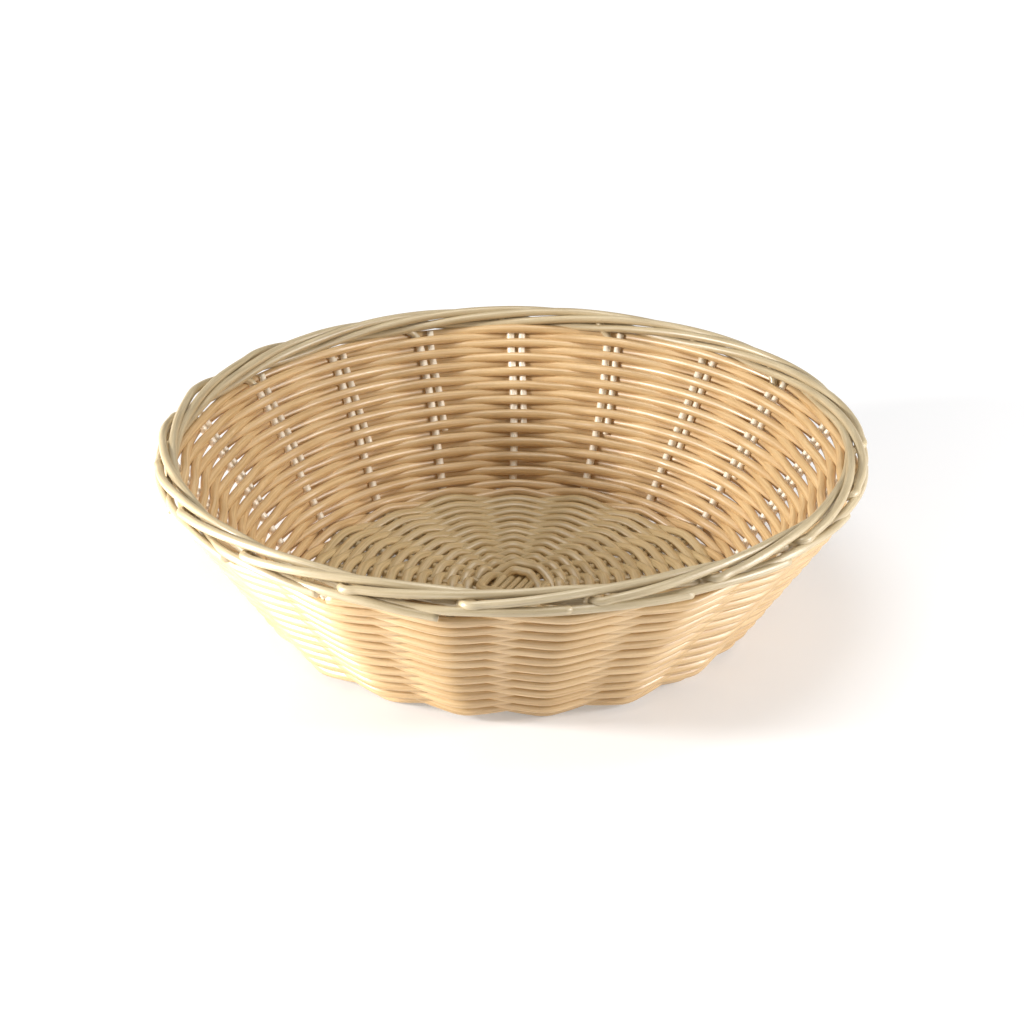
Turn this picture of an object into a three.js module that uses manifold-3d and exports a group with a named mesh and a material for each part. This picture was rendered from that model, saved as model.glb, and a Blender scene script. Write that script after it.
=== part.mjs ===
// Round woven bread basket: base sticks crossed in a slath, side stakes that end in a plaited
// border, bye-stakes in the upper wall, and a weaver that fills the base and the wall.
// Millimetres, +Z up. The origin is the middle of the face that the basket rests on.
// Angles run clockwise from +Y seen from above, and stake 0 is on the +Y side.

import * as THREE from 'three';
import * as BufferGeometryUtils from 'three/addons/utils/BufferGeometryUtils.js';
import Module from 'manifold-3d';

// Counts. The weaver goes in front of one stake and behind the next, so their number is odd.
const STAKE_COUNT = 19;
const STAKE_STEP = (2 * Math.PI) / STAKE_COUNT;
const ARM_STICK_COUNT = 5;

// Cord. The weave is one cord thick between stakes and three cords thick at a stake.
const CORD = 2.6;
const ROD_RADIUS = 1.2;
const GAP = 0.3;
const STAKE_SIDE = 1.4;
const MID_HEIGHT = 1.5 * CORD;

// Base and wall, measured on the middle line of the weave.
const BASE_HOLE_RADIUS = 11.5;
const BASE_EDGE_RADIUS = 76.2;
const CORNER_BEND = 7;
const WALL_ANGLE = THREE.MathUtils.degToRad(56.7);
const WALL_TOP = 54.2;
const CORNER_STEPS = 3;
const WALL_STEPS = 4;
const STEPS_PER_GAP = 4;

// Stakes and sticks.
const STAKE_FOOT_RADIUS = 52;
const BASE_STICK_END_RADIUS = 74;
const STICK_SHIFT_RADIUS = [40, 50];
const STAKE_STRAIGHT_TOP = 55.5;
const BYE_STAKE_FOOT = 25.5;
const BYE_STAKE_TOP = 58.2;

// Slath: one arm lies on the other, and the sticks fan out to the spokes beyond the crossing.
const UPPER_ARM_AXIS = 1.25 * STAKE_STEP;
const LOWER_ARM_AXIS = 6 * STAKE_STEP;
const ARM_STICK_PITCH = 2.85;
const ARM_RISE = 1.45;
const ARM_HALF_LENGTH = 9.5;
const FAN_RADIUS = 18;

// Border: each stake turns into a strand of a rope that runs round the rim.
const ROPE_RADIUS = 114.4;
const ROPE_HEIGHT = 61.9;
const STRAND_OFFSET = 2.6;
const STRAND_TURN = THREE.MathUtils.degToRad(72);
const ROPE_GAPS = 4;
const ROPE_STEPS_PER_GAP = 3;

// Where a stake leans over into the rope: to its counter-clockwise side, then its place out from
// and above the rope's middle.
const LEAN = [
  [2.2, 0, -3.9],
  [4.5, 0.3, -2.6],
];

// The strand's tail: gaps from its own stake, then its place out from and above the rope's middle.
const TAIL = [
  [4.25, -2.9, -3.2],
  [4.5, -0.8, -5.2],
  [4.75, 2.0, -5.0],
  [5.0, 4.0, -4.0],
  [5.3, 4.2, -3.7],
  [5.6, 4.3, -3.5],
];

const CORD_LOOK = { color: 0xdcbe8c, roughness: 0.45, metalness: 0 };
const BORDER_LOOK = { color: 0xd6c296, roughness: 0.45, metalness: 0 };
const BASE_LOOK = { color: 0xc8aa78, roughness: 0.5, metalness: 0 };

const wasm = await Module();
wasm.setup();

// A place beside a spoke: out along it, to its clockwise side, and up.
function place(angle, radius, side, height) {
  const sin = Math.sin(angle);
  const cos = Math.cos(angle);
  return new THREE.Vector3(radius * sin + side * cos, radius * cos - side * sin, height);
}

// A smooth curve whose steps fall on its own points.
class PointCurve extends THREE.CatmullRomCurve3 {
  getUtoTmapping(u) {
    return u;
  }
}

function rod(points, radius) {
  const corners = [];
  for (let i = 0; i < 6; i += 1) {
    const turn = (i * Math.PI) / 3;
    corners.push(new THREE.Vector2(radius * Math.cos(turn), radius * Math.sin(turn)));
  }
  return new THREE.ExtrudeGeometry(new THREE.Shape(corners), {
    steps: points.length - 1,
    extrudePath: new PointCurve(points),
    bevelEnabled: false,
  });
}

function toSolid(geometry) {
  const bare = geometry.clone();
  bare.deleteAttribute('normal');
  bare.deleteAttribute('uv');
  const merged = BufferGeometryUtils.mergeVertices(bare);
  return new wasm.Manifold(new wasm.Mesh({
    numProp: 3,
    vertProperties: new Float32Array(merged.attributes.position.array),
    triVerts: new Uint32Array(merged.index.array),
  }));
}

function toGeometry(solid) {
  const mesh = solid.getMesh();
  const geometry = new THREE.BufferGeometry();
  geometry.setAttribute('position', new THREE.BufferAttribute(mesh.vertProperties, 3));
  geometry.setIndex(new THREE.BufferAttribute(mesh.triVerts, 1));
  geometry.computeVertexNormals();
  return geometry;
}

// Cuts rod-shaped channels, a gap wider than the rods, through a geometry.
function cutChannels(geometry, paths) {
  let solid = toSolid(geometry);
  for (const path of paths) {
    solid = solid.subtract(toSolid(rod(path, ROD_RADIUS + GAP)));
  }
  return toGeometry(solid);
}

// The middle line of the weave from the edge of the base: round the corner, then up the wall.
function cornerPoint(turn) {
  return {
    radius: BASE_EDGE_RADIUS + CORNER_BEND * Math.sin(turn),
    height: MID_HEIGHT + CORNER_BEND * (1 - Math.cos(turn)),
    turn,
  };
}

function wallPoint(height) {
  const start = cornerPoint(WALL_ANGLE);
  const radius = start.radius + (height - start.height) / Math.tan(WALL_ANGLE);
  return { radius, height, turn: WALL_ANGLE };
}

// How far the weave reaches from its middle line: most at a stake, least half way between two.
function halfThickness(angle) {
  const lobe = 0.5 + 0.5 * Math.cos(angle * STAKE_COUNT);
  return CORD / 2 + CORD * lobe;
}

// Lathe of a closed profile, with the axis turned from Y to Z.
function latheAboutZ(profile, segments) {
  const outline = profile.map((point) => new THREE.Vector2(point.radius, point.height));
  const geometry = new THREE.LatheGeometry([...outline, outline[0]], segments);
  geometry.rotateX(Math.PI / 2);
  return geometry;
}

function wallMiddleLine() {
  const line = [];
  for (let i = 0; i <= CORNER_STEPS; i += 1) {
    line.push(cornerPoint((WALL_ANGLE * i) / CORNER_STEPS));
  }
  const corner = line[CORNER_STEPS].height;
  for (let i = 1; i <= WALL_STEPS; i += 1) {
    line.push(wallPoint(corner + ((WALL_TOP - corner) * i) / WALL_STEPS));
  }
  return line;
}

// The wall starts as a ring on the middle line, and each of its points is then moved off that
// line, outward on the way up and inward on the way back down.
function wallShell() {
  const line = wallMiddleLine();
  const outer = line.map((point) => ({ ...point, side: -1 }));
  const inner = line.map((point) => ({ ...point, side: 1 })).reverse();
  const profile = [...outer, ...inner];
  const geometry = latheAboutZ(profile, STAKE_COUNT * STEPS_PER_GAP);
  const position = geometry.attributes.position;
  for (let i = 0; i < position.count; i += 1) {
    const point = profile[(i % (profile.length + 1)) % profile.length];
    const angle = Math.atan2(position.getX(i), position.getY(i));
    const offset = point.side * halfThickness(angle);
    const radius = point.radius - offset * Math.sin(point.turn);
    const height = point.height + offset * Math.cos(point.turn);
    const moved = place(angle, radius, 0, height);
    position.setXYZ(i, moved.x, moved.y, moved.z);
  }
  return geometry;
}

function basePlate() {
  const edge = BASE_EDGE_RADIUS - GAP;
  const profile = [
    { radius: BASE_HOLE_RADIUS, height: 0 },
    { radius: edge, height: 0 },
    { radius: edge, height: 2 * MID_HEIGHT },
    { radius: BASE_HOLE_RADIUS, height: 2 * MID_HEIGHT },
  ];
  return latheAboutZ(profile, STAKE_COUNT * STEPS_PER_GAP);
}

// A strand's place in the rope, so many gaps on from its own stake.
function ropePoint(stakeAngle, gaps, out, up) {
  return place(stakeAngle - gaps * STAKE_STEP, ROPE_RADIUS + out, 0, ROPE_HEIGHT + up);
}

function ropeStrand(stakeAngle) {
  const points = [];
  for (let i = 1; i <= ROPE_GAPS * ROPE_STEPS_PER_GAP; i += 1) {
    const gaps = i / ROPE_STEPS_PER_GAP;
    const turn = gaps * STRAND_TURN - Math.PI / 2;
    const out = STRAND_OFFSET * Math.cos(turn);
    const up = STRAND_OFFSET * Math.sin(turn);
    points.push(ropePoint(stakeAngle, gaps, out, up));
  }
  for (const [gaps, out, up] of TAIL) {
    points.push(ropePoint(stakeAngle, gaps, out, up));
  }
  return points;
}

function stakeFoot(angle, radius) {
  return place(angle, radius, -STAKE_SIDE, MID_HEIGHT);
}

function stakeInWall(angle, topHeight) {
  const points = [];
  for (let i = 0; i <= CORNER_STEPS; i += 1) {
    const corner = cornerPoint((WALL_ANGLE * i) / CORNER_STEPS);
    points.push(place(angle, corner.radius, -STAKE_SIDE, corner.height));
  }
  const top = wallPoint(topHeight);
  points.push(place(angle, top.radius, -STAKE_SIDE, top.height));
  return points;
}

// Foot in the base, up the wall, over into the rope and round to the cut end under the rim.
function sideStake(angle) {
  const lean = LEAN.map(([side, out, up]) => {
    return place(angle, ROPE_RADIUS + out, -side, ROPE_HEIGHT + up);
  });
  return [
    stakeFoot(angle, STAKE_FOOT_RADIUS),
    ...stakeInWall(angle, STAKE_STRAIGHT_TOP),
    ...lean,
    ...ropeStrand(angle),
  ];
}

function byeStake(angle, footHeight, topHeight) {
  return [footHeight, topHeight].map((height) => {
    const point = wallPoint(height);
    return place(angle, point.radius, STAKE_SIDE, point.height);
  });
}

// One end of a base stick, from the edge of the base in to where the arm's sticks fan out.
function spoke(angle) {
  const [inner, outer] = STICK_SHIFT_RADIUS;
  return [
    place(angle, BASE_STICK_END_RADIUS, STAKE_SIDE, MID_HEIGHT),
    place(angle, outer, STAKE_SIDE, MID_HEIGHT),
    place(angle, inner, 0, MID_HEIGHT),
    place(angle, FAN_RADIUS, 0, MID_HEIGHT),
  ];
}

function armPoint(arm, along, lane) {
  return place(arm.axis, along, lane * ARM_STICK_PITCH, arm.height);
}

// Each arm's sticks lie in lanes beside its middle one, and every lane has a spoke at each end.
const ARMS = [
  {
    axis: UPPER_ARM_AXIS,
    height: MID_HEIGHT + ARM_RISE,
    nearSpoke: (lane) => 1 + lane,
    farSpoke: (lane) => 11 - lane,
  },
  {
    axis: LOWER_ARM_AXIS,
    height: MID_HEIGHT - ARM_RISE,
    nearSpoke: (lane) => 6 + lane,
    farSpoke: (lane) => 15.5 - lane + 0.5 * Math.sign(lane),
  },
];

// A full stick crosses the slath, and the middle one of the lower arm stops just past it.
function baseStick(arm, lane) {
  const near = spoke(arm.nearSpoke(lane) * STAKE_STEP);
  const nearArm = armPoint(arm, ARM_HALF_LENGTH, lane);
  const farArm = armPoint(arm, -ARM_HALF_LENGTH, lane);
  if (arm === ARMS[1] && lane === 0) {
    return [...near, nearArm, farArm];
  }
  const far = spoke(arm.farSpoke(lane) * STAKE_STEP).reverse();
  return [...near, nearArm, farArm, ...far];
}

function baseStickPaths() {
  const paths = [];
  for (const arm of ARMS) {
    for (let i = 0; i < ARM_STICK_COUNT; i += 1) {
      paths.push(baseStick(arm, i - (ARM_STICK_COUNT - 1) / 2));
    }
  }
  return paths;
}

const basket = new THREE.Group();

function add(name, geometry, look) {
  const mesh = new THREE.Mesh(geometry, new THREE.MeshStandardMaterial(look));
  mesh.name = name;
  basket.add(mesh);
}

function numbered(name, index) {
  return `${name}_${String(index + 1).padStart(2, '0')}`;
}

const stakeAngles = Array.from({ length: STAKE_COUNT }, (_, i) => i * STAKE_STEP);

function addSticksAndStakes() {
  baseStickPaths().forEach((path, i) => {
    add(numbered('base_stick', i), rod(path, ROD_RADIUS), BASE_LOOK);
  });
  stakeAngles.forEach((angle, i) => {
    const bye = byeStake(angle, BYE_STAKE_FOOT, BYE_STAKE_TOP);
    add(numbered('side_stake', i), rod(sideStake(angle), ROD_RADIUS), BORDER_LOOK);
    add(numbered('bye_stake', i), rod(bye, ROD_RADIUS), CORD_LOOK);
  });
}

function addBaseWeave() {
  const stakes = stakeAngles.map((angle) => [
    stakeFoot(angle, STAKE_FOOT_RADIUS - GAP),
    stakeFoot(angle, BASE_EDGE_RADIUS + GAP),
  ]);
  add('base_weave', cutChannels(basePlate(), [...baseStickPaths(), ...stakes]), BASE_LOOK);
}

function addWallWeave() {
  const above = WALL_TOP + 2 * CORD;
  const stakes = stakeAngles.map((angle) => [
    stakeFoot(angle, BASE_EDGE_RADIUS - CORD),
    ...stakeInWall(angle, above),
  ]);
  const byes = stakeAngles.map((angle) => byeStake(angle, BYE_STAKE_FOOT - GAP, above));
  add('wall_weave', cutChannels(wallShell(), [...stakes, ...byes]), CORD_LOOK);
}

addSticksAndStakes();
addBaseWeave();
addWallWeave();

export default basket;
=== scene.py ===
# Looks of the round woven bread basket: every cord is its own smooth tube, on the route that its
# CAD piece stands for, with a procedural rattan-look finish, on a plain pale floor.
# Angles run clockwise from +Y seen from above. Routes are worked out in millimetres.

import math

import bpy
import numpy as np
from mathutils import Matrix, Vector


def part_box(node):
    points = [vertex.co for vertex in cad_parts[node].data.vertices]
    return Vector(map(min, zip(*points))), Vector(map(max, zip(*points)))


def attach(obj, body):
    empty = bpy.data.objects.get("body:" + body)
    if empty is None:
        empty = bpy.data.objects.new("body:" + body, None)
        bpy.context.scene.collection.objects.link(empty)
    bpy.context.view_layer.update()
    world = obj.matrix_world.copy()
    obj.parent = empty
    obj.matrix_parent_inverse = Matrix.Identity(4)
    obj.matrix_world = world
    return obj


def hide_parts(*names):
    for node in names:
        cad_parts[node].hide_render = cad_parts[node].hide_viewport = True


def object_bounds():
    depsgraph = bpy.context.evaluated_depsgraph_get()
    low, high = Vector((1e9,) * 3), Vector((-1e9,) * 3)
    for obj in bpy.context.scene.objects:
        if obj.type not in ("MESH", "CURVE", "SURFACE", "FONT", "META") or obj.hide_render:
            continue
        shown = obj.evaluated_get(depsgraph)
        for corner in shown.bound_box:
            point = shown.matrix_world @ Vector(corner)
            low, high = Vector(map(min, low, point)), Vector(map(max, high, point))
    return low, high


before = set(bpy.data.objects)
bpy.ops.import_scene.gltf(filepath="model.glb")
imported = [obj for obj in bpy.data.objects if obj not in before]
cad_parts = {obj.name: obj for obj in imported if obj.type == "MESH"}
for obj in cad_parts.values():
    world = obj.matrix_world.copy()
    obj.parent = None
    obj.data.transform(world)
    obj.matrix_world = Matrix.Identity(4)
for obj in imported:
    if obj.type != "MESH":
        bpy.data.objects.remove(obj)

CAD_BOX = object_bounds()
MM = 0.001
RANDOM = np.random.default_rng(19)

# Sizes from the frame. The base weave is three cords thick, and the border, whose rope runs just
# in from and below the rim, is the widest part.
BASE_CORNER = np.array(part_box("base_weave")[1]) / MM
RIM = np.array(CAD_BOX[1]) / MM
STAKES = sum(name.startswith("side_stake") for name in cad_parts)
STEP = 2 * math.pi / STAKES
CORD = BASE_CORNER[2] / 3
GAP = 0.3
FLOOR_CLEARANCE = 0.2
MIDDLE = BASE_CORNER[2] / 2 + FLOOR_CLEARANCE
BASE_EDGE = BASE_CORNER[0] + GAP
ROPE_RADIUS = RIM[0] - 3.4
ROPE_HEIGHT = RIM[2] - 3.6

# The weave's middle line: a slightly domed base, a round corner and a straight flared wall.
DOME = 0.5
CORNER_BEND = 7.0
WALL_ANGLE = math.radians(56.7)
WALL_SLANT = 58.8
WALL_END = BASE_EDGE + CORNER_BEND * WALL_ANGLE + WALL_SLANT

# Base sticks: thickness, ends, and the radii between which one shifts to make room for a stake.
STICK = CORD - 0.2
STICK_END = BASE_EDGE - 2
SHIFT_OUTER = 49
SHIFT_INNER = 40
ROD_SPACING = 1.6

# Side stakes and bye-stakes: thickness, how far each stands beside its spoke, alone and as a pair,
# and where each starts along the middle line.
STRAND_CORD = CORD + 0.3
BYE_CORD = CORD - 0.1
STAKE_SIDE = 1.4
PAIR_SIDE = 1.9
STAKE_FOOT = 54.0
BYE_FOOT = WALL_END - 37.3
STRAND_SPACING = 1.5

# The stretch along each stake that is painted paler than the weave, a painted highlight standing in for
# the light on the stakes between the rows: up the wall on a side stake, and all of a bye-stake. It
# fades out just below the top of the wall, so a side stake's lean into the border, which sits in shade,
# keeps the darker border colour as painted shade.
STAKE_PAINTED_HIGHLIGHT = (BASE_EDGE - STAKE_FOOT, WALL_END - STAKE_FOOT)
BYE_PAINTED_HIGHLIGHT = (-4.0, WALL_END)
PAINTED_HIGHLIGHT_FADE = 4.0

# The weaver: its thickness and the shape that it is pressed to, how far it swings off the middle
# line at a stake, and how much it climbs for each millimetre that it swings out of the wall.
WEAVER = 3.1
BASE_SQUASH = (1.2, 1.2, 0.85)
WALL_SQUASH = (1.0, 1.0, 1.13)
SWING_IN = 2.25
SWING_OUT = 2.35
BASE_SWING = 1.75
SWING_NARROWS = BASE_EDGE - 4
LIFT_OUTSIDE = 0.1

# Its places are counted in stakes passed, so one round is as many as there are stakes.
STEPS_PER_GAP = 16
WALL_PITCH = 2.71
ROUNDS = 49
TOP_COUNT = ROUNDS * STAKES
LAST_COUNT = TOP_COUNT + 11
EDGE_COUNT = round(TOP_COUNT - (WALL_END - BASE_EDGE) / WALL_PITCH * STAKES)
LIFT_COUNT = EDGE_COUNT + 2 * STAKES

# A spoke of the base is one stick wide up to this radius, and a stick and a stake wide beyond it.
PAIRED_RADIUS = 50
SINGLE_WIDTH = 0.2

# The slath: two arms of parallel sticks, wrapped by the first rounds of the weaver.
UPPER_ARM = 1.25
LOWER_ARM = 6.0
LANES = (-2, -1, 0, 1, 2)
ARM_RISE = 1.2
ARM_PITCH = 2.65
ARM_REACH = 12.0
FAN_RADIUS = 20.0
FIRST_ROUND = 7.4
SLATH_ROUNDS = 3
SLATH_UNDER = 2.75
SLATH_SLACK = 0.5
START_COUNT = UPPER_ARM - STAKES / 4

# The first rounds still have some of the slath's square shape, which fades over four rounds.
SQUARE_SHARE = 0.15
SQUARE_ROUNDS = 4

# A cord's tube: its sides, how uneven it is, the bevel of a cut end, and a direction that no cord
# starts along.
TUBE_SIDES = 12
TUBE_TURN = 2 * np.pi * np.arange(TUBE_SIDES) / TUBE_SIDES
UNEVEN = 0.012
BEVEL_SHARE = 0.8
BEVEL_RISE = 0.22
CUT_RISE = 0.26
ASKEW = (0.31, 0.52, 0.79)


# ---------------------------------------------------------------- routes


def place(angle, radius, side, height):
    """A point beside a spoke: out along it, to its clockwise side, and up."""
    sin, cos = np.sin(angle), np.cos(angle)
    x = radius * sin + side * cos
    y = radius * cos - side * sin
    return np.stack(np.broadcast_arrays(x, y, height), axis=-1).astype(float)


def middle_line(along):
    """Radius, height and turn of the weave's middle line, so far along it from the axis."""
    along = np.asarray(along, float)
    turn = np.clip((along - BASE_EDGE) / CORNER_BEND, 0, WALL_ANGLE)
    wall = np.maximum(along - BASE_EDGE - CORNER_BEND * WALL_ANGLE, 0)
    flat = np.minimum(along, BASE_EDGE)
    dome = DOME * (1 - (flat / BASE_EDGE) ** 2)
    radius = flat + CORNER_BEND * np.sin(turn) + wall * math.cos(WALL_ANGLE)
    height = MIDDLE + dome + CORNER_BEND * (1 - np.cos(turn)) + wall * math.sin(WALL_ANGLE)
    return radius, height, turn


def wander(count, size, spread):
    """A smooth random wave of about that size, with a new value every spread samples."""
    knots = RANDOM.normal(0, size, int(count / spread) + 4)
    at = np.arange(count) / spread
    low = at.astype(int)
    ease = 0.5 - 0.5 * np.cos(np.pi * (at - low))
    return knots[low] * (1 - ease) + knots[low + 1] * ease


def smooth(points, spacing):
    """A smooth route through points, sampled about every spacing millimetres."""
    points = np.asarray(points, float)
    length = np.linalg.norm(np.diff(points, axis=0), axis=1)
    slope = np.diff(points, axis=0) / length[:, None]
    both = (length[1:] + length[:-1])[:, None]
    inner = (slope[:-1] * length[1:, None] + slope[1:] * length[:-1, None]) / both
    velocity = np.vstack([slope[:1], inner, slope[-1:]])
    pieces = []
    for i, span in enumerate(length):
        t = np.linspace(0, 1, max(2, math.ceil(span / spacing)) + 1)[:-1, None]
        pieces.append(
            (2 * t**3 - 3 * t**2 + 1) * points[i]
            + (t**3 - 2 * t**2 + t) * span * velocity[i]
            + (3 * t**2 - 2 * t**3) * points[i + 1]
            + (t**3 - t**2) * span * velocity[i + 1]
        )
    return np.vstack([*pieces, points[-1:]])


# ---------------------------------------------------------------- a cord's mesh


def unit(vectors):
    return vectors / np.linalg.norm(vectors, axis=-1, keepdims=True)


def carried_normals(tangent):
    """Normals carried along a route without twist."""
    start = np.cross(tangent[0], ASKEW)
    normals = [start / np.linalg.norm(start)]
    for t in tangent[1:]:
        last = normals[-1] - np.dot(normals[-1], t) * t
        normals.append(last / np.linalg.norm(last))
    return np.array(normals)


def lengths_along(path):
    steps = np.linalg.norm(np.diff(path, axis=0), axis=1)
    return np.concatenate([[0], np.cumsum(steps)])


def tube_faces(index):
    """The four-sided faces between each ring of points and the next."""
    after = np.roll(index, -1, axis=1)
    quads = np.stack([index[:-1], after[:-1], after[1:], index[1:]], axis=-1)
    return quads.reshape(-1, 4).tolist()


def end_faces(ring, first, way):
    """A cut end: a bevel from the last ring to the points from first on, and a fan to their centre."""
    faces = []
    centre = first + TUBE_SIDES
    for i in range(TUBE_SIDES):
        j = (i + 1) % TUBE_SIDES
        rim = [int(ring[i]), int(ring[j]), first + j, first + i]
        fan = [first + i, first + j, centre]
        faces += [rim, fan] if way > 0 else [rim[::-1], fan[::-1]]
    return faces


def add_marks(mesh, grain, cut, painted_highlight_span):
    """What the materials read: the place in the cord, its cut ends, its tone and its stretch with the
    painted highlight.
    """
    along = grain[:, 0]
    rising = np.clip((along - painted_highlight_span[0]) / PAINTED_HIGHLIGHT_FADE, 0, 1)
    falling = np.clip((painted_highlight_span[1] - along) / PAINTED_HIGHLIGHT_FADE, 0, 1)
    grain = grain + (RANDOM.uniform(0, 900), 0, 0)
    tone = np.full(len(grain), RANDOM.uniform(0, 1))
    mesh.attributes.new("grain", "FLOAT_VECTOR", "POINT").data.foreach_set("vector", grain.ravel())
    # The pale mark is where a cord gets the painted highlight.
    for name, values in (("cut", cut), ("tone", tone), ("pale", rising * falling)):
        mesh.attributes.new(name, "FLOAT", "POINT").data.foreach_set("value", values)


def cord_mesh(name, path, thickness, slants, painted_highlight_span, squash):
    """A closed round cord along a route, its cut ends bevelled and slanted."""
    count = len(path)
    tangent = unit(np.gradient(path, axis=0))
    normal = carried_normals(tangent)
    other = np.cross(tangent, normal)
    radius = thickness / 2 * (1 + wander(count, UNEVEN, 9))
    cos, sin = np.cos(TUBE_TURN)[:, None], np.sin(TUBE_TURN)[:, None]
    spoke = (normal[:, None] * cos + other[:, None] * sin) * squash
    rings = path[:, None] + radius[:, None, None] * spoke
    along = lengths_along(path)
    grain = np.empty((count, TUBE_SIDES, 3))
    grain[..., 0] = along[:, None]
    grain[..., 1:] = thickness / 2 * np.hstack([cos, sin])
    index = np.arange(count * TUBE_SIDES).reshape(count, TUBE_SIDES)
    faces = tube_faces(index)
    points, marks = [rings.reshape(-1, 3)], [grain.reshape(-1, 3)]
    total = index.size
    for end, way, slant in ((0, -1, slants[0]), (count - 1, 1, slants[1])):
        lean = slant * radius[end] * cos * tangent[end]
        bevel = path[end] + BEVEL_SHARE * radius[end] * spoke[end]
        points[0][index[end]] += lean
        points.append(bevel + way * BEVEL_RISE * tangent[end] + BEVEL_SHARE * lean)
        points.append(path[end][None] + way * CUT_RISE * tangent[end])
        marks.append(np.vstack([BEVEL_SHARE * grain[end], [[along[end], 0, 0]]]))
        faces += end_faces(index[end], total, way)
        total += TUBE_SIDES + 1
    mesh = bpy.data.meshes.new(name)
    mesh.from_pydata((np.vstack(points) * MM).tolist(), [], faces)
    cut = (np.arange(total) >= index.size).astype(float)
    add_marks(mesh, np.vstack(marks), cut, painted_highlight_span)
    mesh.polygons.foreach_set("use_smooth", np.ones(len(mesh.polygons), bool))
    mesh.update()
    return mesh


# pale is the stretch along the cord that gets the painted highlight.
def add_cord(name, node, path, thickness, material, slants=(0, 0), pale=(0, 0), squash=1):
    mesh = cord_mesh(name, path, thickness, slants, pale, squash)
    mesh.materials.append(material)
    piece = bpy.data.objects.new(name, mesh)
    bpy.context.scene.collection.objects.link(piece)
    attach(piece, "root")
    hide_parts(node)


# ---------------------------------------------------------------- materials


def link(tree, source, output, target, socket):
    tree.links.new(source.outputs[output], target.inputs[socket])


def grain_noise(tree, grain, stretch, detail, roughness):
    """Noise in the cord's own coordinates, drawn out along the cord."""
    mapping = tree.nodes.new("ShaderNodeMapping")
    mapping.inputs["Scale"].default_value = stretch
    noise = tree.nodes.new("ShaderNodeTexNoise")
    noise.inputs["Scale"].default_value = 1.0
    noise.inputs["Detail"].default_value = detail
    noise.inputs["Roughness"].default_value = roughness
    link(tree, grain, "Vector", mapping, "Vector")
    link(tree, mapping, "Vector", noise, "Vector")
    return noise


def ramp(tree, source, low, high):
    """A colour that goes from one stop, as (position, colour), to the other."""
    node = tree.nodes.new("ShaderNodeValToRGB")
    for element, (position, colour) in zip(node.color_ramp.elements, (low, high)):
        element.position = position
        element.color = (*colour, 1)
    link(tree, source, "Fac", node, "Fac")
    return node.outputs["Color"]


def tint(tree, base, factor, strength):
    """Base times a grey or tinted factor, so strong."""
    mix = tree.nodes.new("ShaderNodeMix")
    mix.data_type = "RGBA"
    mix.blend_type = "MULTIPLY"
    mix.inputs[0].default_value = strength
    tree.links.new(base, mix.inputs[6])
    tree.links.new(factor, mix.inputs[7])
    return mix.outputs[2]


def grey(value):
    return (value, value, value)


def attribute(tree, name):
    node = tree.nodes.new("ShaderNodeAttribute")
    node.attribute_name = name
    return node


def blended(tree, base, mark, colour):
    """Base turning to a flat colour where the cord's own mark says so."""
    mix = tree.nodes.new("ShaderNodeMix")
    mix.data_type = "RGBA"
    mix.inputs[7].default_value = (*colour, 1)
    link(tree, attribute(tree, mark), "Fac", mix, 0)
    tree.links.new(base, mix.inputs[6])
    return mix.outputs[2]


# A painted highlight: the cream painted on the stakes' wall stretch in place of the light that falls on
# them.
PAINTED_HIGHLIGHT_COLOUR = (0.93, 0.83, 0.66)
CUT_COLOUR = (0.72, 0.57, 0.36)


def cord_colour(tree, grain, streaks, pale, deep):
    """Long streaks between two colours, slow bands, a tone for each cord, dark specks, the painted
    highlight on the stakes and the colour of cut ends.
    """
    colour = ramp(tree, streaks, (0.32, deep), (0.66, pale))
    bands = grain_noise(tree, grain, (0.035, 0.05, 0.05), 2.0, 0.5)
    band_tint = ramp(tree, bands, (0.3, (0.84, 0.8, 0.74)), (0.7, grey(1.0)))
    colour = tint(tree, colour, band_tint, 0.8)
    tone = attribute(tree, "tone")
    tone_tint = ramp(tree, tone, (0.0, (0.92, 0.9, 0.86)), (1.0, grey(1.0)))
    colour = tint(tree, colour, tone_tint, 0.8)
    specks = grain_noise(tree, grain, (0.9, 4.0, 4.0), 2.0, 0.5)
    speck_tint = ramp(tree, specks, (0.25, (0.72, 0.6, 0.45)), (0.36, grey(1.0)))
    colour = tint(tree, colour, speck_tint, 0.6)
    # The painted highlight, where the pale mark says so.
    colour = blended(tree, colour, "pale", PAINTED_HIGHLIGHT_COLOUR)
    return blended(tree, colour, "cut", CUT_COLOUR)


def fibre_bump(tree, grain):
    """Fine fibres along the cord, a tenth of a millimetre deep."""
    fibres = grain_noise(tree, grain, (0.12, 5.0, 5.0), 3.0, 0.6)
    bump = tree.nodes.new("ShaderNodeBump")
    bump.inputs["Strength"].default_value = 0.35
    bump.inputs["Distance"].default_value = 0.12 * MM
    link(tree, fibres, "Fac", bump, "Height")
    return bump.outputs["Normal"]


def rattan(name, pale, deep):
    """Satin rattan-look cord, glossier where a streak is pale."""
    material = bpy.data.materials.new(name)
    material.use_nodes = True
    tree = material.node_tree
    shader = tree.nodes["Principled BSDF"]
    grain = attribute(tree, "grain")
    streaks = grain_noise(tree, grain, (0.05, 1.5, 1.5), 4.0, 0.6)
    tree.links.new(cord_colour(tree, grain, streaks, pale, deep), shader.inputs["Base Color"])
    gloss = ramp(tree, streaks, (0.3, grey(0.46)), (0.7, grey(0.3)))
    tree.links.new(gloss, shader.inputs["Roughness"])
    tree.links.new(fibre_bump(tree, grain), shader.inputs["Normal"])
    shader.inputs["Specular IOR Level"].default_value = 1.0
    return material


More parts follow.
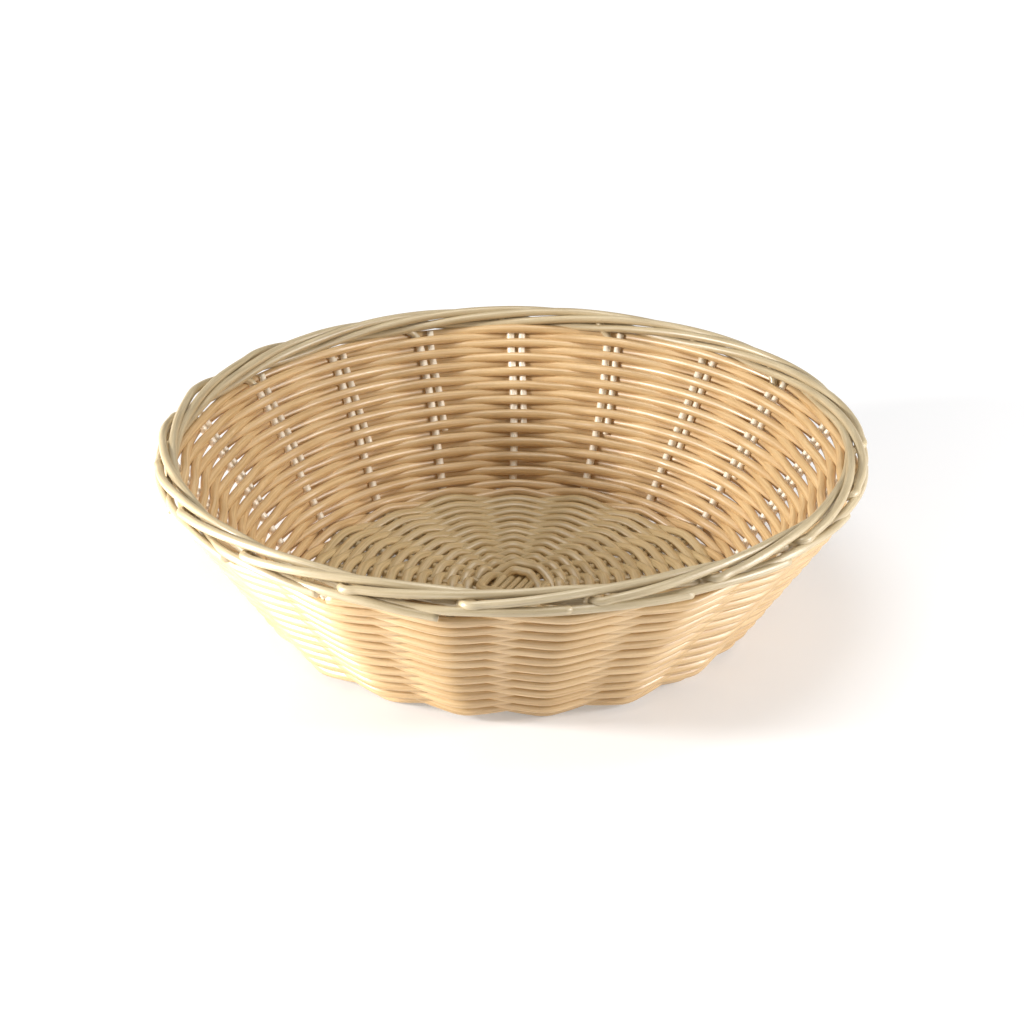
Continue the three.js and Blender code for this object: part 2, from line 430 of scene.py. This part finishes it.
# One rattan cord in lit and shaded copies. The wall weave is painted warmer and more orange, as painted
# warm bounce light inside the bowl. The base weave, sticks, stakes and border are painted more khaki,
# as painted cool shade. The base weave and the wall weave are one weaver.
WALL_CORD_WARM_BOUNCE = rattan("wall_rattan_warm_bounce", (0.77, 0.55, 0.295), (0.55, 0.345, 0.145))
BORDER_CORD_COOL_SHADE = rattan("border_rattan_cool_shade", (0.66, 0.55, 0.36), (0.48, 0.38, 0.22))
BASE_CORD_COOL_SHADE = rattan("base_rattan_cool_shade", (0.74, 0.57, 0.32), (0.52, 0.375, 0.17))


# ---------------------------------------------------------------- base sticks


# Each arm of the slath: where its axis points, in gaps, how high it lies, and at which spoke the
# stick in each lane has its near and its far end. The lower arm's middle stick has no far end.
ARMS = [
    {
        "axis": UPPER_ARM,
        "rise": ARM_RISE,
        "near": lambda lane: 1 + lane,
        "far": lambda lane: 11 - lane,
    },
    {
        "axis": LOWER_ARM,
        "rise": -ARM_RISE,
        "near": lambda lane: 6 + lane,
        "far": lambda lane: 15.5 - lane + 0.5 * np.sign(lane),
    },
]


def numbered(name, index):
    return f"{name}_{index + 1:02d}"


def spoke_points(angle):
    """A base stick's end: from the edge of the base in to where it joins its arm."""
    outer_radii = np.arange(STICK_END, SHIFT_OUTER, -6)
    inner_radii = np.arange(SHIFT_INNER, FAN_RADIUS - 1, -5)
    outer = place(angle, outer_radii, STAKE_SIDE, middle_line(outer_radii)[1])
    inner = place(angle, inner_radii, 0, middle_line(inner_radii)[1])
    return np.vstack([outer, inner])


def arm_points(arm, lane):
    """The stretch of a base stick that lies in its arm, across the middle of the base."""
    reach = ARM_REACH * np.array([1, 0.5, 0, -0.5, -1])
    height = middle_line(0)[1] + arm["rise"]
    return place(arm["axis"] * STEP, reach, lane * ARM_PITCH, height)


def base_stick_path(arm, lane):
    parts = [spoke_points(arm["near"](lane) * STEP), arm_points(arm, lane)]
    if arm["rise"] > 0 or lane != 0:
        parts.append(spoke_points(arm["far"](lane) * STEP)[::-1])
    return smooth(np.vstack(parts), ROD_SPACING)


def add_base_sticks():
    sticks = [(arm, lane) for arm in ARMS for lane in LANES]
    for i, (arm, lane) in enumerate(sticks):
        path = base_stick_path(arm, lane)
        name, node = numbered("stick_cord", i), numbered("base_stick", i)
        add_cord(name, node, path, STICK, BASE_CORD_COOL_SHADE, (0.3, -0.3))


# ---------------------------------------------------------------- side stakes and bye-stakes


# A side stake leaves the wall to its counter-clockwise side: how far to that side, out from the
# rope's middle and above it, and how much of its sway it still keeps there.
LEAN = [
    (2.7, -2.1, -4.4, 0.6),
    (4.8, -1.9, -2.4, 0.4),
    (6.4, -1.1, -1.1, 0.2),
    (7.3, 0.5, -0.5, 0.1),
    (8.4, 1.8, -0.1, 0.05),
    (10.0, 2.3, 0.1, 0.0),
]

# Then it runs on in the rope: gaps from its own stake, and out from and above the rope's middle.
STRAND = [
    (0.35, 2.3, 0.3),
    (0.5, 2.3, 0.9),
    (0.75, 1.8, 1.7),
    (1.0, 1.0, 2.3),
    (1.25, 0.1, 2.6),
    (1.5, -0.8, 2.7),
    (1.75, -1.6, 2.5),
    (2.0, -2.3, 2.1),
    (2.25, -2.6, 1.4),
    (2.5, -2.6, 0.6),
    (2.75, -2.6, -0.3),
    (3.0, -2.4, -1.2),
    (3.25, -1.7, -2.3),
    (3.5, -0.6, -2.9),
    (3.75, 1.0, -2.8),
    (4.0, 2.4, -2.1),
    (4.25, 2.8, -1.9),
    (4.5, 2.9, -2.1),
    (4.75, 2.8, -2.6),
    (5.0, 2.7, -3.1),
]

# How far each stake sways clockwise half way up the wall, and where its top leans, clockwise too.
SWAY = RANDOM.uniform(0.6, 2.0, STAKES)
LEANING = {2: 1.8, 15: 1.5, 16: 2.8, 17: 3.2, 18: 1.2}
USUAL_LEANING = -1.2

# The stakes whose bend stands out most from the border, how far any other's may, and where along
# the strand, in gaps, the bend is and how wide.
LOOSE_STAKES = {14: 0.3, 15: 0.6, 16: 1.6, 17: 2.4}
USUAL_LOOSE = 0.3
BEND_AT = 0.65
BEND_WIDTH = 0.28

# How far a stake's cut end hangs, and the gaps it hangs from.
DROOPING = {13: -0.2, 14: -1.3, 15: 1.6, 17: 1.0}
USUAL_DROOPING = 0.5
DROOP_FROM = 4.0

# The border's small rise and fall around the rim.
SAG_MEAN = 0.35
SAG_SWING = 0.7
SAG_ANGLE = 0.44

# How far a bye-stake bends to its clockwise side, from its foot up, and how far its tip stands
# above the last row.
BYE_LEAN = np.array([0, 0, 0, 0, 0, 0, 0.1, 0.5, 1.2])
BYE_TIP = 1.0


def sag(angle):
    """The border's rise and fall, lowest just counter-clockwise of the back."""
    return -SAG_MEAN - SAG_SWING * math.cos(angle + SAG_ANGLE)


def drift(stake, climb):
    """How far a stake has swayed clockwise, there along its climb."""
    share = np.clip((climb - BASE_EDGE) / (WALL_END - BASE_EDGE), 0, 1)
    lean = LEANING.get(stake, USUAL_LEANING)
    return SWAY[stake] * np.sin(np.pi * share) + lean * share ** 1.5


def foot_points(angle):
    radii = np.arange(STAKE_FOOT, BASE_EDGE - 4, 6)
    return place(angle, radii, -STAKE_SIDE, middle_line(radii)[1])


def climb_points(stake):
    climb = np.arange(BASE_EDGE, WALL_END - 4, 2.6)
    radius, height, _ = middle_line(climb)
    spread = np.interp(climb, [BASE_EDGE, BYE_FOOT], [STAKE_SIDE, PAIR_SIDE])
    return place(stake * STEP, radius, drift(stake, climb) - spread, height)


def lean_points(stake):
    angle = stake * STEP
    points = []
    for side, out, up, kept in LEAN:
        across = drift(stake, WALL_END) * kept - side
        points.append(place(angle, ROPE_RADIUS + out, across, ROPE_HEIGHT + up + sag(angle)))
    return points


def strand_points(angle, loose, droop):
    """The stake's run in the border, its bend standing out by loose and its end hanging by droop."""
    shift_out = wander(len(STRAND), 0.12, 2.5)
    shift_up = wander(len(STRAND), 0.12, 2.5)
    points = []
    for i, (gaps, out, up) in enumerate(STRAND):
        here = angle - gaps * STEP
        bulge = loose * math.exp(-(((gaps - BEND_AT) / BEND_WIDTH) ** 2))
        hang = droop * max(0.0, gaps - DROOP_FROM) ** 1.5
        radius = ROPE_RADIUS + out + bulge + shift_out[i]
        height = ROPE_HEIGHT + up + shift_up[i] + sag(here) - hang
        points.append(place(here, radius, 0, height))
    return points


def side_stake_path(stake, loose, droop):
    angle = stake * STEP
    strand = strand_points(angle, loose, droop)
    parts = [foot_points(angle), climb_points(stake), lean_points(stake), strand]
    return smooth(np.vstack(parts), STRAND_SPACING)


def bye_stake_path(stake):
    """A second stake beside the first, cut off just above the last row there."""
    passed = STAKES if stake > LAST_COUNT - TOP_COUNT else 0
    top = weaver_along(TOP_COUNT + stake - passed) + BYE_TIP
    climb = np.linspace(BYE_FOOT, top, len(BYE_LEAN))
    radius, height, _ = middle_line(climb)
    side = drift(stake, climb) + PAIR_SIDE + BYE_LEAN
    return smooth(place(stake * STEP, radius, side, height), ROD_SPACING)


def add_stakes():
    for i in range(STAKES):
        loose = LOOSE_STAKES.get(i, RANDOM.uniform(0, USUAL_LOOSE))
        side = side_stake_path(i, loose, DROOPING.get(i, USUAL_DROOPING))
        slants = (0.2, RANDOM.uniform(-0.9, 0.9))
        name, node = numbered("stake_cord", i), numbered("side_stake", i)
        add_cord(name, node, side, STRAND_CORD, BORDER_CORD_COOL_SHADE, slants, STAKE_PAINTED_HIGHLIGHT)
        name, node = numbered("bye_cord", i), numbered("bye_stake", i)
        bye = bye_stake_path(i)
        add_cord(name, node, bye, BYE_CORD, BORDER_CORD_COOL_SHADE, (0.3, 0.3), BYE_PAINTED_HIGHLIGHT)


# ---------------------------------------------------------------- weavers


def slath_keys():
    """Where the weaver goes over and under the four arms, for its first rounds."""
    keys, values = [], []
    for arm in range(4 * SLATH_ROUNDS):
        centre = START_COUNT + arm * STAKES / 4
        upper = arm % 2 == 1
        over = upper if arm // 4 % 2 == 0 else not upper
        reach = CORD + ARM_RISE if over == upper else CORD - ARM_RISE + SLATH_SLACK
        keys += [centre - 1.0, centre + 1.0]
        values += [reach if over else -min(reach, SLATH_UNDER)] * 2
    return keys, values


def weave_keys(first, last):
    """Where the weaver passes each stake: inside it, or above it in the base, then the next outside."""
    keys, values = [], []
    for stake in range(first, last + 1):
        along = weaver_along(stake)
        radius = middle_line(along)[0]
        width = (SINGLE_WIDTH if radius < PAIRED_RADIUS else STAKE_SIDE) / (radius * STEP)
        centre = stake + drift(stake % STAKES, along) / (radius * STEP)
        swing = SWING_IN if (TOP_COUNT - stake) % 2 == 0 else -SWING_OUT
        swing *= BASE_SWING / SWING_IN if radius < SWING_NARROWS else 1
        keys += [centre - width, centre + width]
        values += [swing, swing]
    return keys, values


def weaver_along(at):
    """How far out along the weave's middle line the weaver is, at that stake count."""
    wall = WALL_END + WALL_PITCH * (at - TOP_COUNT) / STAKES
    edge = WALL_END + WALL_PITCH * (EDGE_COUNT - TOP_COUNT) / STAKES
    base = FIRST_ROUND + (edge - FIRST_ROUND) * (at - START_COUNT) / (EDGE_COUNT - START_COUNT)
    return np.where(at > EDGE_COUNT, wall, base)


def softened(values, radius):
    """A straight-legged wave with its corners rounded by the cord's own stiffness."""
    blend = np.hanning(2 * radius + 3)[1:-1]
    padded = np.pad(values, radius, mode="edge")
    return np.convolve(padded, blend / blend.sum(), mode="valid")


def weaver_swing(at, keys, values):
    """How far off the middle line the weaver is, rounder in the base than in the wall."""
    swing = np.interp(at, keys, values)
    swing = np.where(at < EDGE_COUNT, softened(swing, 3), softened(swing, 1))
    return swing * (1 + wander(len(at), 0.03, 24)) + wander(len(at), 0.06, 12)


def weaver_route(keys, values):
    """The whole weaver, from the middle of the base to the top of the wall."""
    at = np.arange(START_COUNT, LAST_COUNT, 1 / STEPS_PER_GAP)
    fade = np.clip(1 - (at - START_COUNT) / (SQUARE_ROUNDS * STAKES), 0, 1)
    square = 1 + SQUARE_SHARE * fade * np.sin(2 * (at - UPPER_ARM) * STEP) ** 2
    swing = weaver_swing(at, keys, values)
    lift = -LIFT_OUTSIDE * swing * (at > LIFT_COUNT)
    along = weaver_along(at) * square + wander(len(at), 0.1, 9) + lift
    radius, height, turn = middle_line(along)
    path = place(at * STEP, radius - swing * np.sin(turn), 0, height + swing * np.cos(turn))
    return at, path


def add_weavers():
    first_keys, first_values = slath_keys()
    keys, values = weave_keys(math.ceil(first_keys[-1]) + 1, LAST_COUNT + 1)
    at, path = weaver_route(first_keys + keys, first_values + values)
    base, wall = path[at <= EDGE_COUNT], path[at >= EDGE_COUNT]
    add_cord("woven_base", "base_weave", base, WEAVER, BASE_CORD_COOL_SHADE, squash=BASE_SQUASH)
    add_cord("woven_wall", "wall_weave", wall, WEAVER, WALL_CORD_WARM_BOUNCE, squash=WALL_SQUASH)


# ---------------------------------------------------------------- stage


# The floor, in metres: its half width, and how far from the middle its glow starts and ends
# rising, each with the glow's strength there.
FLOOR_HALF = 15.0
GLOW_START, GLOW_LOW = 0.14, 0.26
GLOW_END, GLOW_HIGH = 1.2, 0.94

# Lights, in millimetres: each one's place, what it points at, how wide it is and its power.
BASKET_MIDDLE = (0, 0, 35)
NEARLY_WHITE = (1.0, 0.99, 0.97)
LIGHTS = [
    ("left_key", (-820, -200, 300), BASKET_MIDDLE, 150, 9.2, NEARLY_WHITE),
    ("left_low", (-270, -120, 34), (-80, -60, 34), 60, 0.4, NEARLY_WHITE),
    ("right_key", (820, -170, 340), BASKET_MIDDLE, 220, 4.8, NEARLY_WHITE),
    ("right_low", (320, -110, 36), (80, -60, 34), 70, 0.14, NEARLY_WHITE),
    ("top_soft", (0, -60, 700), BASKET_MIDDLE, 400, 1.8, (1.0, 1.0, 0.99)),
]
WORLD_STRENGTH = 0.3

# The camera: degrees above the horizon and to the right of the -Y side, and millimetres.
CAMERA_ELEVATION = 26.2
CAMERA_AZIMUTH = 1.2
CAMERA_DISTANCE = 877.0
CAMERA_TARGET = np.array([0.2, 0.0, 35.2])
CAMERA_LENS = 89.6
CAMERA_SENSOR = 36.0


def floor_paper():
    """White paper that glows a little away from the basket, as a lit backdrop does."""
    material = bpy.data.materials.new("floor_paper")
    material.use_nodes = True
    tree = material.node_tree
    shader = tree.nodes["Principled BSDF"]
    shader.inputs["Base Color"].default_value = (0.74, 0.74, 0.75, 1)
    shader.inputs["Roughness"].default_value = 0.9
    shader.inputs["Emission Color"].default_value = (1, 1, 1, 1)
    place_node = tree.nodes.new("ShaderNodeTexCoord")
    length = tree.nodes.new("ShaderNodeVectorMath")
    length.operation = "LENGTH"
    glow = tree.nodes.new("ShaderNodeMapRange")
    glow.inputs["From Min"].default_value = GLOW_START
    glow.inputs["From Max"].default_value = GLOW_END
    glow.inputs["To Min"].default_value = GLOW_LOW
    glow.inputs["To Max"].default_value = GLOW_HIGH
    link(tree, place_node, "Object", length, 0)
    link(tree, length, "Value", glow, "Value")
    link(tree, glow, "Result", shader, "Emission Strength")
    return material


def add_floor():
    mesh = bpy.data.meshes.new("floor")
    sides = [(-1, -1), (1, -1), (1, 1), (-1, 1)]
    corners = [(x * FLOOR_HALF, y * FLOOR_HALF, 0) for x, y in sides]
    mesh.from_pydata(corners, [], [(0, 1, 2, 3)])
    floor = bpy.data.objects.new("floor", mesh)
    bpy.context.scene.collection.objects.link(floor)
    mesh.materials.append(floor_paper())


def aimed(direction):
    """The turn that points a light or a camera along a direction."""
    return Vector(direction).to_track_quat("-Z", "Y")


def add_light(name, place_mm, aim_mm, size_mm, power, colour):
    data = bpy.data.lights.new(name, "AREA")
    data.shape = "DISK"
    data.size = size_mm * MM
    data.energy = power
    data.color = colour
    light = bpy.data.objects.new(name, data)
    light.location = [v * MM for v in place_mm]
    light.rotation_mode = "QUATERNION"
    light.rotation_quaternion = aimed(np.array(aim_mm, float) - np.array(place_mm, float))
    light.visible_camera = False
    bpy.context.scene.collection.objects.link(light)


def add_world():
    world = bpy.data.worlds.new("studio")
    world.use_nodes = True
    world.node_tree.nodes["Background"].inputs["Color"].default_value = (1, 1, 1, 1)
    world.node_tree.nodes["Background"].inputs["Strength"].default_value = WORLD_STRENGTH
    bpy.context.scene.world = world


def add_camera():
    elevation, azimuth = math.radians(CAMERA_ELEVATION), math.radians(CAMERA_AZIMUTH)
    back = np.array([
        math.sin(azimuth) * math.cos(elevation),
        -math.cos(azimuth) * math.cos(elevation),
        math.sin(elevation),
    ])
    data = bpy.data.cameras.new("camera")
    data.lens = CAMERA_LENS
    data.sensor_width = CAMERA_SENSOR
    data.clip_start, data.clip_end = 0.01, 50
    camera = bpy.data.objects.new("camera", data)
    camera.location = (CAMERA_TARGET + back * CAMERA_DISTANCE) * MM
    camera.rotation_mode = "QUATERNION"
    camera.rotation_quaternion = aimed(-back)
    bpy.context.scene.collection.objects.link(camera)
    bpy.context.scene.camera = camera


add_camera()
for light in LIGHTS:
    add_light(*light)
add_world()
add_floor()
add_base_sticks()
add_stakes()
add_weavers()
bpy.context.scene.view_settings.view_transform = "Standard"
